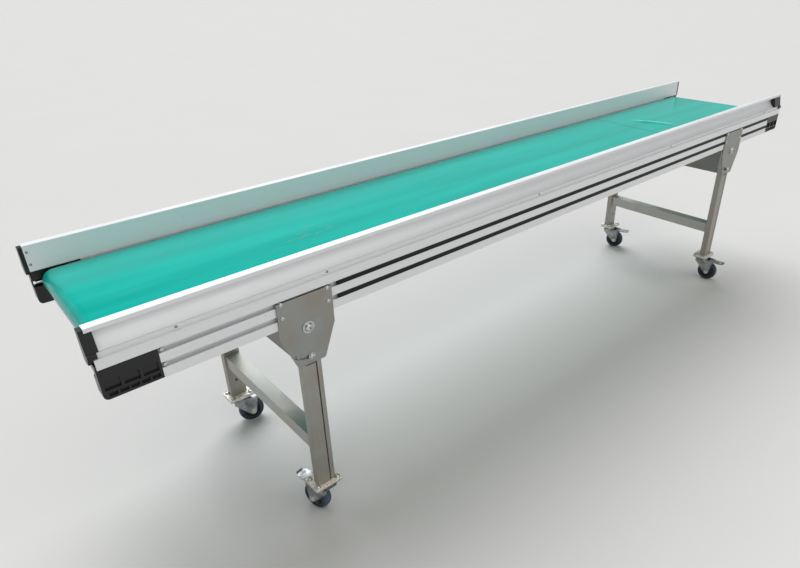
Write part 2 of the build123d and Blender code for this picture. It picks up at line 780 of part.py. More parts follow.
def fork():
    with BuildPart() as body:
        for side in (-1, 1):
            fork_leg(side * fork_gap, side * (fork_gap + fork_wall))
        with BuildSketch(Plane.XY.offset(crown_level)):
            Rectangle(crown_length, 2 * (fork_gap + fork_wall))
        extrude(amount=fork_wall)
        fillet(body.edges().filter_by(Axis.X).group_by(Axis.Z)[-1], crown_bend)
        with BuildSketch(Plane.XY.offset(crown_level + fork_wall)):
            Circle(race_dia / 2)
        extrude(amount=race_rise - race_gap)
        with BuildSketch(Plane.XY.offset(crown_level + fork_wall)):
            Circle(kingpin_dia / 2)
        extrude(amount=race_rise + castor_plate - kingpin_recess)
        axle_end = fork_gap + fork_wall + axle_overhang
        rod_y(trail, wheel_dia / 2, axle_dia / 2, -axle_end, axle_end)
        for side in (-1, 1):
            y = side * (fork_gap + fork_wall)
            with BuildSketch(Plane(origin=(trail, y, wheel_dia / 2), x_dir=(1, 0, 0), z_dir=(0, side, 0))):
                RegularPolygon(axle_dia * 0.75, 6)
            extrude(amount=axle_nut)
            rod_y(pedal_pin_x, pedal_pin_z, pedal_pin / 2, side * (fork_gap - pedal_play - sheet), side * axle_end)
    return body.part


# Brake pedals: folded levers over the wheels, held between the fork's legs
def pedal():
    inner = fork_gap - pedal_play
    lug_top = crown_level - pedal_play
    root = trail + pedal_root
    lug_end = root + pedal_lug_length
    half = pedal_width / 2
    lip_half = half - pedal_corner_width
    with BuildPart() as lever:
        with BuildSketch(Plane.XY.offset(pedal_level)):
            with BuildLine():
                Polyline(
                    (root, -inner),
                    (lug_end, -inner),
                    (pedal_reach - pedal_corner_length, -half),
                    (pedal_reach, -lip_half),
                    (pedal_reach, lip_half),
                    (pedal_reach - pedal_corner_length, half),
                    (lug_end, inner),
                    (root, inner),
                    close=True,
                )
            make_face()
            with Locations((pedal_reach - pedal_slot_inset, 0)):
                Rectangle(pedal_slot_width, 2 * lip_half, mode=Mode.SUBTRACT)
        extrude(amount=sheet)
        box((pedal_reach - sheet, pedal_reach), (-lip_half, lip_half), (pedal_level, pedal_level + pedal_lip))
        for side in (-1, 1):
            lug_y = (side * (inner - sheet), side * inner)
            box((root, lug_end), lug_y, (pedal_level - pedal_lug_drop, lug_top))
        rod_y(pedal_pin_x, pedal_pin_z, pedal_pin / 2 + bearing_play, -inner, inner, Mode.SUBTRACT)
    return lever.part


# Wheels: an elastic blue tyre on a black moulded hub with a dished face each side
def tyre():
    half = tyre_width / 2
    outer = wheel_dia / 2
    shoulder = (half - tyre_shoulder * 0.6, outer - tyre_shoulder * 0.3)
    with BuildPart() as ring:
        with BuildSketch(Plane.XY):
            with BuildLine():
                Polyline(
                    (-half, outer - tyre_wall),
                    (half, outer - tyre_wall),
                    (half, outer - tyre_shoulder),
                    shoulder,
                    (tread_flat / 2, outer),
                    (-tread_flat / 2, outer),
                    (-shoulder[0], shoulder[1]),
                    (-half, outer - tyre_shoulder),
                    close=True,
                )
            make_face()
        revolve(axis=Axis.X)
    return ring.part


def hub():
    rim = wheel_dia / 2 - tyre_wall
    rim_half = tyre_width / 2 - hub_rim_inset
    web_rim = rim - hub_rim_wall - hub_rim_slope
    bore = axle_dia / 2 + bearing_play
    with BuildPart() as wheel:
        with BuildSketch(Plane.XY):
            with BuildLine():
                Polyline(
                    (-rim_half, rim),
                    (rim_half, rim),
                    (rim_half, rim - hub_rim_wall),
                    (hub_web / 2, web_rim),
                    (hub_web / 2, hub_boss_root),
                    (hub_width / 2, hub_boss_end),
                    (hub_width / 2, bore),
                    (-hub_width / 2, bore),
                    (-hub_width / 2, hub_boss_end),
                    (-hub_web / 2, hub_boss_root),
                    (-hub_web / 2, web_rim),
                    (-rim_half, rim - hub_rim_wall),
                    close=True,
                )
            make_face()
        revolve(axis=Axis.X)
    return wheel.part


wheel_turn = Location((trail, 0, wheel_dia / 2), (0, 0, 90))
castor_pieces = {
    "fork": fork(),
    "pedal": pedal(),
    "hub": hub().moved(wheel_turn),
    "tyre": tyre().moved(wheel_turn),
}
for end_name, side_name, heading in CASTORS:
    stand = Location((ENDS[end_name] * leg_x, SIDES[side_name] * swivel_y, 0), (0, 0, heading))
    for kind, piece in castor_pieces.items():
        save(piece.moved(stand), f"{end_name}_{side_name}_{kind}")
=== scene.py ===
"""Studio scene of a mobile belt conveyor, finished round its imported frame.

Metres, in the frame's own axes: X along the bed, Y across it, Z up, with zero in the middle of the belt's
carrying face. The sections follow the conveyor as it is put together.
"""

import json
import math
import random

import bmesh
import bpy
from mathutils import Matrix, Vector


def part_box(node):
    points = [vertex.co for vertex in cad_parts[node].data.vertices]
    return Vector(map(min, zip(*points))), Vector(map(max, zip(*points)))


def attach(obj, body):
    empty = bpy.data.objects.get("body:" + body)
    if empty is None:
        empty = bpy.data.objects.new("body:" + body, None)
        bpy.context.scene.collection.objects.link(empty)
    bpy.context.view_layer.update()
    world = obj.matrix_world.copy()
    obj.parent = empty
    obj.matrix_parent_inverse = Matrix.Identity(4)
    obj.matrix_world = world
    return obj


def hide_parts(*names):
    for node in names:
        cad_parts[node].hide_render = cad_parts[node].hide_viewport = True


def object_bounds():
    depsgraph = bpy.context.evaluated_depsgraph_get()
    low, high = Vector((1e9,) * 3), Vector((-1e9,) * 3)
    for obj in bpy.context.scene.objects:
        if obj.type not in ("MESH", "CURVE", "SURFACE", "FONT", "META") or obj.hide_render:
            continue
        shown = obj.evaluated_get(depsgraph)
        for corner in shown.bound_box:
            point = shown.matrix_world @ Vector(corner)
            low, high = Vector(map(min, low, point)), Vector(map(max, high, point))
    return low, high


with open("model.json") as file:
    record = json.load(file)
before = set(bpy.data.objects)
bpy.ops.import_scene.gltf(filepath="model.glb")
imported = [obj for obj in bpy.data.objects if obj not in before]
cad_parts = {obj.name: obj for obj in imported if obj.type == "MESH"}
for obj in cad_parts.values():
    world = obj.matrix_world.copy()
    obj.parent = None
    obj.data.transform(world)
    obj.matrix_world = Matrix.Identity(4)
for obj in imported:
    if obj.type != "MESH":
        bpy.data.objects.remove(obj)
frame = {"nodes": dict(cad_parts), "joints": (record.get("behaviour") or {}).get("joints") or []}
cad_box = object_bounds()

# Rails and side guards: hollow extrusions of aluminium 6060, sawn to length and anodised in their natural
# colour. The guard hooks over the rail's upper edge, and two T-slots run along the rail's outer face.
extrusions = ["rail_front", "rail_rear", "guard_front", "guard_rear"]
die_line_length = 2.0
die_line_pitch = 0.004
handling_mark_size = 0.22
nick_size = 0.010
extrusion_edge = 0.0006
anodised_line = "#D0D2D4"
anodised_ground = "#D9DADC"
nick_grey = "#85868A"


def linear(code):
    """A colour written as sRGB hex, in linear values with full alpha."""
    shares = [int(code[start:start + 2], 16) / 255 for start in (1, 3, 5)]
    return [c / 12.92 if c <= 0.04045 else ((c + 0.055) / 1.055) ** 2.4 for c in shares] + [1.0]


def output_of(source):
    """The first output of a node, or the output that was given."""
    return source if isinstance(source, bpy.types.NodeSocket) else source.outputs[0]


def add(owner, kind, settings, links=None):
    """Adds a node with its settings: a socket by its number or its title, and any other by its own name."""
    made = owner.node_tree.nodes.new("ShaderNode" + kind)
    for key, value in settings.items():
        if isinstance(key, int) or key[0].isupper():
            made.inputs[key].default_value = value
        else:
            setattr(made, key, value)
    for key, source in (links or {}).items():
        owner.node_tree.links.new(output_of(source), made.inputs[key])
    return made


def surface(name, settings):
    """A new material, its Principled shader set to what is the same all over."""
    material = bpy.data.materials.new(name)
    material.use_nodes = True
    for key, value in settings.items():
        material.node_tree.nodes["Principled BSDF"].inputs[key].default_value = value
    return material


def join(material, ties):
    """Leads outputs into the named sockets of a material's shader."""
    shader = material.node_tree.nodes["Principled BSDF"]
    for socket, source in ties.items():
        material.node_tree.links.new(output_of(source), shader.inputs[socket])
    return material


def dress(names, material):
    """Gives nodes of the frame a material in all of their slots."""
    for name in names:
        for slot in frame["nodes"][name].material_slots:
            slot.material = material


# Natural anodising leaves an extrusion satin: its clear film scatters part of the light, which takes the
# mirror out of the metal. Faint lines from the die run along it, drawn coarser than their real pitch of
# under a millimetre so that they show.
def anodised_aluminium():
    material = surface("natural_anodised_extruded_aluminium", {"Metallic": 0.32, "Specular IOR Level": 0.4})
    place = add(material, "TexCoord", {}).outputs["Object"]
    drawn_out = (1 / die_line_length, 1 / die_line_pitch, 1 / die_line_pitch)
    along = add(material, "Mapping", {"Scale": drawn_out}, {0: place})
    lines = add(material, "TexNoise", {"Scale": 1.0, "Detail": 3.0, "Roughness": 0.6}, {0: along})
    marks = add(material, "TexNoise", {"Scale": 1 / handling_mark_size, "Detail": 4.0}, {0: place})
    nicks = add(material, "TexNoise", {"Scale": 1 / nick_size, "Detail": 1.0}, {0: place})
    nick = add(material, "MapRange", {"From Min": 0.80, "From Max": 0.86}, {0: nicks})
    silver = {"data_type": "RGBA", 6: linear(anodised_line), 7: linear(anodised_ground)}
    tone = add(material, "Mix", silver, {0: lines})
    worn = add(material, "Mix", {"data_type": "RGBA", 7: linear(nick_grey)}, {0: nick, 6: tone.outputs[2]})
    satin = {"From Min": 0.3, "From Max": 0.7, "To Min": 0.36, "To Max": 0.46}
    gloss = add(material, "MapRange", satin, {0: marks})
    eased = add(material, "Bevel", {"samples": 4, "Radius": extrusion_edge})
    bump = add(material, "Bump", {"Strength": 0.05, "Distance": 0.0004}, {"Height": lines, "Normal": eased})
    return join(material, {"Base Color": worn.outputs[2], "Roughness": gloss, "Normal": bump})


dress(extrusions, anodised_aluminium())

# Slot covers: strips of black soft PVC pressed into the T-slots between the brackets and at the far end.
# They are extruded, so they are even and a little shiny along their length, under a film of dust. Their die
# lines are drawn coarser than they are, so that they show.
strip_line_length = 1.0
strip_line_pitch = 0.003
strip_dust_size = 0.0333
strip_black = "#050608"
strip_dust = "#0F1114"


def black_soft_pvc():
    material = surface("extruded_black_soft_pvc", {"IOR": 1.53, "Specular IOR Level": 0.25})
    place = add(material, "TexCoord", {}).outputs["Object"]
    drawn_out = (1 / strip_line_length, 1 / strip_line_pitch, 1 / strip_line_pitch)
    along = add(material, "Mapping", {"Scale": drawn_out}, {0: place})
    lines = add(material, "TexNoise", {"Scale": 1.0, "Detail": 2.0}, {0: along})
    dust = add(material, "TexNoise", {"Scale": 1 / strip_dust_size, "Detail": 5.0}, {0: place})
    blacks = {"data_type": "RGBA", 6: linear(strip_black), 7: linear(strip_dust)}
    tone = add(material, "Mix", blacks, {0: dust})
    gloss = add(material, "MapRange", {"To Min": 0.42, "To Max": 0.6}, {0: dust})
    bump = add(material, "Bump", {"Strength": 0.15, "Distance": 0.0003}, {"Height": lines})
    return join(material, {"Base Color": tone.outputs[2], "Roughness": gloss, "Normal": bump})


dress(["slot_strips"], black_soft_pvc())

# Slider bed and cross ties: the folded sheet under the loaded strand and the tubes that carry it between
# the rails, of hot-dip galvanised steel.
spangle_size = 0.012
dull_patch_size = 0.111
galvanised_dark = "#9DA0A1"
galvanised_light = "#B9BCBD"


# Hot-dip zinc sets in flat crystals: each spangle has a grey of its own, and dull patches lie over them.
def galvanised_sheet():
    material = surface("hot_dip_galvanised_sheet_steel", {"Metallic": 1.0})
    place = add(material, "TexCoord", {}).outputs["Object"]
    spangle = add(material, "TexVoronoi", {"Scale": 1 / spangle_size}, {0: place})
    cloud = add(material, "TexNoise", {"Scale": 1 / dull_patch_size, "Detail": 4.0}, {0: place})
    grey = add(material, "RGBToBW", {}, {0: spangle.outputs["Color"]})
    greys = {"data_type": "RGBA", 6: linear(galvanised_dark), 7: linear(galvanised_light)}
    tone = add(material, "Mix", greys, {0: grey})
    gloss = add(material, "MapRange", {"To Min": 0.38, "To Max": 0.6}, {0: cloud})
    bump = add(material, "Bump", {"Strength": 0.05, "Distance": 0.0005}, {"Height": grey})
    return join(material, {"Base Color": tone.outputs[2], "Roughness": gloss, "Normal": bump})


dress(["slider_bed", "cross_ties"], galvanised_sheet())

# Drums and return rollers: turned steel tubes on their axles. Turning leaves rings round them, drawn coarser
# than the tool's feed so that they show, and the belt's underside keeps them bright.
turning_pitch = 0.0025
turning_drift = 0.25
turned_dark = "#A6A7A8"
turned_light = "#C4C5C6"


def turned_steel():
    material = surface("turned_steel_tube", {"Metallic": 1.0})
    place = add(material, "TexCoord", {}).outputs["Object"]
    drawn_round = (1 / turning_drift, 1 / turning_pitch, 1 / turning_drift)
    across = add(material, "Mapping", {"Scale": drawn_round}, {0: place})
    rings = add(material, "TexNoise", {"Scale": 1.0, "Detail": 2.0}, {0: across})
    greys = {"data_type": "RGBA", 6: linear(turned_dark), 7: linear(turned_light)}
    tone = add(material, "Mix", greys, {0: rings})
    gloss = add(material, "MapRange", {"To Min": 0.22, "To Max": 0.4}, {0: rings})
    bump = add(material, "Bump", {"Strength": 0.1, "Distance": 0.0002}, {"Height": rings})
    return join(material, {"Base Color": tone.outputs[2], "Roughness": gloss, "Normal": bump})


dress(["return_rollers", "tail_drum", "drive_drum"], turned_steel())

# Belt: one endless loop of two polyester plies under a green PVC cover, 2.5 mm thick, welded with a
# finger splice. It lies on the slider bed and shows a low ripple across its far end, as it was left.
belt_low, belt_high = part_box("belt")
belt_thick = 0.0025
belt_radius = (belt_high.z - belt_low.z) / 2
belt_half_run = belt_high.x - belt_radius
belt_half_width = belt_high.y
belt_edge = 0.0008
belt_sharp_angle = 40
run_step = 0.012
nose_steps = 26
cross_steps = 36
ripple_x = 0.85
ripple_y = 0.005
ripple_skew = -0.325
ripple_height = 0.0055
ripple_half_length = 0.016
ripple_half_width = 0.11
ripple_fade = 1.5
# Where a dark line is painted across the belt, a little askew
dark_line_x = 0.720
dark_line_skew = 0.084
dark_line_half_width = 0.001
dark_line_fade = 0.004
# The painted highlight along the ripple's crest
crest_half_width = 0.001
crest_fade = 0.009
scuff_x = -0.84
scuff_y = -0.01
scuff_reach_x = 0.17
scuff_reach_y = 0.10
emboss_pitch = 0.0006
streak_length = 1.11
streak_width = 0.0833
rub_length = 0.111
rub_width = 0.0385
scratch_length = 0.0385
scratch_width = 0.0167
pvc_green = "#00988C"
pvc_green_light = "#00A699"
pvc_rubbed = "#3E9C90"
pvc_scratched = "#568B82"
# Colour of the dark line painted across the belt
dark_line_green = "#006A61"
# Colour of the painted highlight on the ripple's crest
crest_highlight_green = "#A6DED5"


def belt_path():
    """Points round the loop as (x, z, outward x, outward z), at mid thickness, from the near end's top."""
    middle = (belt_low.z + belt_high.z) / 2
    radius = belt_radius - belt_thick / 2
    run_steps = int(2 * belt_half_run / run_step)
    points = []
    for end in (1, -1):
        for i in range(run_steps):
            x = -belt_half_run + i * 2 * belt_half_run / run_steps
            points.append((end * x, middle + end * radius, 0.0, float(end)))
        for i in range(nose_steps):
            turn = end * math.pi / 2 - math.pi * i / nose_steps
            out_x, out_z = math.cos(turn), math.sin(turn)
            points.append((end * belt_half_run + radius * out_x, middle + radius * out_z, out_x, out_z))
    return points


def belt_lift(x, y, outward_z):
    """How far the ripple lifts the loaded strand: a soft ridge that runs a little askew across the belt."""
    if outward_z < 1.0:
        return 0.0
    across = max(0.0, 1 - ((y - ripple_y) / ripple_half_width) ** 2)
    crest = ripple_x + ripple_skew * (y - ripple_y)
    along = (x - crest) / ripple_half_length
    return ripple_height * across ** ripple_fade * math.exp(-along * along)


def belt_loop():
    """The whole belt as one mesh: its section, with the cover's edges eased, carried round the loop."""
    mesh = bmesh.new()
    half = belt_thick / 2
    flat = belt_half_width - belt_edge
    section = [(-flat + i * 2 * flat / cross_steps, half) for i in range(cross_steps + 1)]
    section += [(belt_half_width, half - belt_edge), (belt_half_width, -half)]
    section += [(-belt_half_width, -half), (-belt_half_width, half - belt_edge)]
    rows = []
    for x, z, out_x, out_z in belt_path():
        row = []
        for y, depth in section:
            lift = belt_lift(x, y, out_z)
            row.append(mesh.verts.new((x + out_x * depth, y, z + out_z * depth + lift)))
        rows.append(row)
    for row, after in zip(rows, rows[1:] + rows[:1]):
        for i in range(len(section)):
            k = (i + 1) % len(section)
            mesh.faces.new((row[i], after[i], after[k], row[k])).smooth = True
    return mesh


def as_piece(mesh, name, material, body, sharp_angle=35):
    """Turns a filled mesh into a piece that rides on a body and takes its finish from a slot."""
    bmesh.ops.recalc_face_normals(mesh, faces=mesh.faces)
    data = bpy.data.meshes.new(name)
    mesh.to_mesh(data)
    mesh.free()
    data.set_sharp_from_angle(angle=math.radians(sharp_angle))
    data.materials.append(material)
    made = bpy.data.objects.new(name, data)
    bpy.context.scene.collection.objects.link(made)
    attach(made, body)
    return made


def beside_line(material, spot, x, skew):
    """How far a point lies, along X, from a line that crosses the belt askew and its middle at x."""
    level = {0: spot.outputs["Y"], 2: spot.outputs["X"]}
    turned = add(material, "Math", {"operation": "MULTIPLY_ADD", 1: -skew}, level)
    away = add(material, "Math", {"operation": "SUBTRACT", 1: x}, {0: turned})
    return add(material, "Math", {"operation": "ABSOLUTE"}, {0: away})


# A PVC cover has a fine matt emboss, drawn here three times as coarse as it is, and a soft gloss when seen
# flat, with long faint streaks in it. Goods leave pale rubs all over and scratches by the near end, where
# they are set down. A dark line is painted across the belt a little askew at x = 0.72, and a painted
# highlight lies pale along the ripple's crest.
def green_pvc_cover():
    material = surface("embossed_green_pvc", {"IOR": 1.5, "Specular IOR Level": 0.22})
    place = add(material, "TexCoord", {}).outputs["Object"]
    emboss = add(material, "TexNoise", {"Scale": 1 / (3 * emboss_pitch), "Detail": 2.0}, {0: place})
    streaky = add(material, "Mapping", {"Scale": (1 / streak_length, 1 / streak_width, 1.0)}, {0: place})
    streaks = add(material, "TexNoise", {"Scale": 1.0, "Detail": 3.0, "Roughness": 0.55}, {0: streaky})
    streak = add(material, "MapRange", {"From Min": 0.35, "From Max": 0.65}, {0: streaks})
    greens = {"data_type": "RGBA", 6: linear(pvc_green), 7: linear(pvc_green_light)}
    tone = add(material, "Mix", greens, {0: streak})

    rub_way = add(material, "Mapping", {"Scale": (1 / rub_length, 1 / rub_width, 1.0)}, {0: place})
    rubs = add(material, "TexNoise", {"Scale": 1.0, "Detail": 3.0, "Roughness": 0.5}, {0: rub_way})
    rub = add(material, "MapRange", {"From Min": 0.60, "From Max": 0.85, "To Max": 0.35}, {0: rubs})
    rubbed = add(material, "Mix", {"data_type": "RGBA", 7: linear(pvc_rubbed)}, {0: rub, 6: tone.outputs[2]})

    middle = (-scuff_x / scuff_reach_x, -scuff_y / scuff_reach_y, 0.0)
    reach = (1 / scuff_reach_x, 1 / scuff_reach_y, 0.0)
    spread = add(material, "Mapping", {"Location": middle, "Scale": reach}, {0: place})
    away = add(material, "VectorMath", {"operation": "LENGTH"}, {0: spread}).outputs["Value"]
    fading = {"From Min": 0.2, "From Max": 1.0, "To Min": 0.14, "To Max": 0.0}
    scuffed = add(material, "MapRange", fading, {0: away})
    fine_way = add(material, "Mapping", {"Scale": (1 / scratch_length, 1 / scratch_width, 1.0)}, {0: place})
    scratches = add(material, "TexNoise", {"Scale": 1.0, "Detail": 5.0, "Roughness": 0.65}, {0: fine_way})
    raised = add(material, "Math", {"operation": "ADD"}, {0: scratches, 1: scuffed})
    scratch = add(material, "MapRange", {"From Min": 0.68, "From Max": 0.74, "To Max": 0.6}, {0: raised})
    scratched = {"data_type": "RGBA", 7: linear(pvc_scratched)}
    worn = add(material, "Mix", scratched, {0: scratch, 6: rubbed.outputs[2]})

    spot = add(material, "SeparateXYZ", {}, {0: place})
    # A dark line is painted across the belt here, a little askew.
    beside_dark_line = beside_line(material, spot, dark_line_x, dark_line_skew)
    dark_line_end = dark_line_half_width + dark_line_fade
    narrow = {"From Min": dark_line_half_width, "From Max": dark_line_end, "To Min": 0.85, "To Max": 0.0}
    dark_line_mask = add(material, "MapRange", narrow, {0: beside_dark_line})
    darkened = {"data_type": "RGBA", 7: linear(dark_line_green)}
    dark_lined = add(material, "Mix", darkened, {0: dark_line_mask, 6: worn.outputs[2]})

    # Painted highlight: a pale stripe along the ripple's crest, fading out towards the belt's edges.
    beside_crest = beside_line(material, spot, ripple_x - ripple_skew * ripple_y, ripple_skew)
    crest_end = crest_half_width + crest_fade
    broad = {"From Min": crest_half_width, "From Max": crest_end, "To Min": 0.55, "To Max": 0.0}
    crest = add(material, "MapRange", broad, {0: beside_crest})
    from_middle = add(material, "Math", {"operation": "SUBTRACT", 1: ripple_y}, {0: spot.outputs["Y"]})
    off_middle = add(material, "Math", {"operation": "ABSOLUTE"}, {0: from_middle})
    highlight_end, highlight_full = 0.95 * ripple_half_width, 0.4 * ripple_half_width
    to_ends = {"From Min": highlight_full, "From Max": highlight_end, "To Min": 1.0, "To Max": 0.0}
    lasting = add(material, "MapRange", to_ends, {0: off_middle})
    crest_highlight = add(material, "Math", {"operation": "MULTIPLY"}, {0: crest, 1: lasting})
    pale = {"data_type": "RGBA", 7: linear(crest_highlight_green)}
    finished = add(material, "Mix", pale, {0: crest_highlight, 6: dark_lined.outputs[2]})

    soft_gloss = {"From Min": 0.3, "From Max": 0.7, "To Min": 0.12, "To Max": 0.24}
    gloss = add(material, "MapRange", soft_gloss, {0: streaks})
    bump = add(material, "Bump", {"Strength": 0.015, "Distance": 0.0003}, {"Height": emboss})
    return join(material, {"Base Color": finished.outputs[2], "Roughness": gloss, "Normal": bump})


belt = as_piece(belt_loop(), "belt_cover", green_pvc_cover(), "bed", belt_sharp_angle)
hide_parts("belt")

# End blocks and guard caps: black glass-filled polyamide, injection moulded. The blocks close the rails and
# hold the drum shafts; the caps fill the guards' hollow at each end and wrap over the ledge.
mould_grain = 0.0015
mould_rub_size = 0.0222
moulding_edge = 0.0009
polyamide_black = "#050607"
polyamide_rubbed = "#101214"


# The glass fibre leaves a fine grain on the moulded face, drawn here several times as coarse, and hands rub
# patches of it shinier.
def black_polyamide():
    material = surface("moulded_black_polyamide", {"IOR": 1.53, "Specular IOR Level": 0.4})
    place = add(material, "TexCoord", {}).outputs["Object"]
    grain = add(material, "TexNoise", {"Scale": 1 / mould_grain, "Detail": 3.0}, {0: place})
    rubbed = add(material, "TexNoise", {"Scale": 1 / mould_rub_size, "Detail": 5.0}, {0: place})
    blacks = {"data_type": "RGBA", 6: linear(polyamide_black), 7: linear(polyamide_rubbed)}
    tone = add(material, "Mix", blacks, {0: rubbed})
    gloss = add(material, "MapRange", {"To Min": 0.22, "To Max": 0.42}, {0: rubbed})
    eased = add(material, "Bevel", {"samples": 4, "Radius": moulding_edge})
    bump = add(material, "Bump", {"Strength": 0.12, "Distance": 0.0003}, {"Height": grain, "Normal": eased})
    return join(material, {"Base Color": tone.outputs[2], "Roughness": gloss, "Normal": bump})


dress(["near_end_blocks", "far_end_blocks", "guard_caps"], black_polyamide())

# Screws and nuts of the bed: steel, zinc plated and blue passivated. Button heads hold the bracket plates
# to nuts in the slots, and set screws lock the end blocks.
zinc_cloud_size = 0.0167
zinc_edge = 0.0004
zinc_dark = "#B4B7BA"
zinc_light = "#D6D7D4"


# Blue passivation leaves the zinc bright, with soft clouds from a cold grey to a warm one.
def zinc_plated_steel():
    material = surface("blue_passivated_zinc_plated_steel", {"Metallic": 1.0})
    place = add(material, "TexCoord", {}).outputs["Object"]
    cloud = add(material, "TexNoise", {"Scale": 1 / zinc_cloud_size, "Detail": 4.0}, {0: place})
    greys = {"data_type": "RGBA", 6: linear(zinc_dark), 7: linear(zinc_light)}
    tone = add(material, "Mix", greys, {0: cloud})
    gloss = add(material, "MapRange", {"To Min": 0.2, "To Max": 0.42}, {0: cloud})
    eased = add(material, "Bevel", {"samples": 4, "Radius": zinc_edge})
    bump = add(material, "Bump", {"Strength": 0.06, "Distance": 0.0003}, {"Height": cloud, "Normal": eased})
    return join(material, {"Base Color": tone.outputs[2], "Roughness": gloss, "Normal": bump})


zinc = zinc_plated_steel()
dress(["block_screws", "bracket_bolts", "near_clamp_bolts", "far_clamp_bolts"], zinc)

# Guard screws: small countersunk screws, two through the guard's web at every end to hold its cap, and five
# along each ledge to hold the guard on its rail. Blackened steel, with a hexagon socket.
guard_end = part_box("guard_front")[1].x
web_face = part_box("guard_rear")[0].y
ledge_reach = 0.0252
guard_screw_inset = 0.006
guard_screw_levels = (0.019, 0.050)
ledge_screw_level = 0.0112
ledge_screw_places = (-1.293, -0.950, -0.214, 0.523, 1.293)
guard_screw_steps = 18
blackening_size = 0.0025
blackened_dark = "#2B2C2E"
blackened_light = "#4A4B4D"

# The head's outline as (height over the face, radius): its rim, its eased top, then the socket's floor
guard_screw_head = [
    (-0.0004, 0.0028),
    (0.0003, 0.0028),
    (0.0005, 0.00238),
    (0.0005, 0.0014),
    (-0.0006, 0.00126),
]


def lathe(mesh, outline, steps, place, closed=False):
    """Adds the surface that (height, radius) points make round a local Z axis, placed by a matrix.

    An open outline gets a flat face at each end, and a closed one is joined from its last point to its first.
    """
    rings = []
    for height, radius in outline:
        ring = []
        for i in range(steps):
            turn = 2 * math.pi * i / steps
            point = Vector((radius * math.cos(turn), radius * math.sin(turn), height))
            ring.append(mesh.verts.new(place @ point))
        rings.append(ring)
    for low, high in zip(rings, rings[1:] + (rings[:1] if closed else [])):
        for i in range(steps):
            k = (i + 1) % steps
            mesh.faces.new((low[i], low[k], high[k], high[i])).smooth = True
    if not closed:
        mesh.faces.new(list(reversed(rings[0])))
        mesh.faces.new(rings[-1])
    return rings


# Blackening turns the steel nearly black and half matt, with the metal just showing through.
def blackened_steel():
    material = surface("blackened_steel_screw", {"Metallic": 1.0})
    place = add(material, "TexCoord", {}).outputs["Object"]
    cloud = add(material, "TexNoise", {"Scale": 1 / blackening_size, "Detail": 2.0}, {0: place})
    blacks = {"data_type": "RGBA", 6: linear(blackened_dark), 7: linear(blackened_light)}
    tone = add(material, "Mix", blacks, {0: cloud})
    gloss = add(material, "MapRange", {"To Min": 0.35, "To Max": 0.55}, {0: cloud})
    return join(material, {"Base Color": tone.outputs[2], "Roughness": gloss})


guard_screws = bmesh.new()
for side in (-1, 1):
    places = [(x, side * (web_face + ledge_reach), ledge_screw_level, -side) for x in ledge_screw_places]
    for x in (guard_screw_inset - guard_end, guard_end - guard_screw_inset):
        places += [(x, side * web_face, level, side) for level in guard_screw_levels]
    for x, y, z, facing in places:
        outward = Matrix.Rotation(math.radians(90 * facing), 4, "X")
        lathe(guard_screws, guard_screw_head, guard_screw_steps, Matrix.Translation((x, y, z)) @ outward)
as_piece(guard_screws, "guard_screws", blackened_steel(), "bed")

# Leg frames: bracket plates, posts folded from sheet with welded foot plates, crossbars of square tube and
# cross sheets folded to a channel, all of brushed steel. The plates are laser cut; each post has its open
# seam on the outer face.
brush_pitch = 0.0035
brush_length = 0.25
stain_size = 0.0714
knock_size = 0.00625
sheet_edge = 0.0008
foot_plate_thick = 0.005
foot_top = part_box("near_castor_plates")[1].z + foot_plate_thick
foot_fade_from = 0.0005
foot_fade_to = 0.0015
foot_metallic = 0.3
warm_cast = "#938C80"
cool_cast = "#9AA09F"
# The foot plates' knocked steel, and the pale painted over it for the light the plates reflect
knocked_steel = "#B0A696"
bare_steel_and_painted_light = "#F4ECDF"


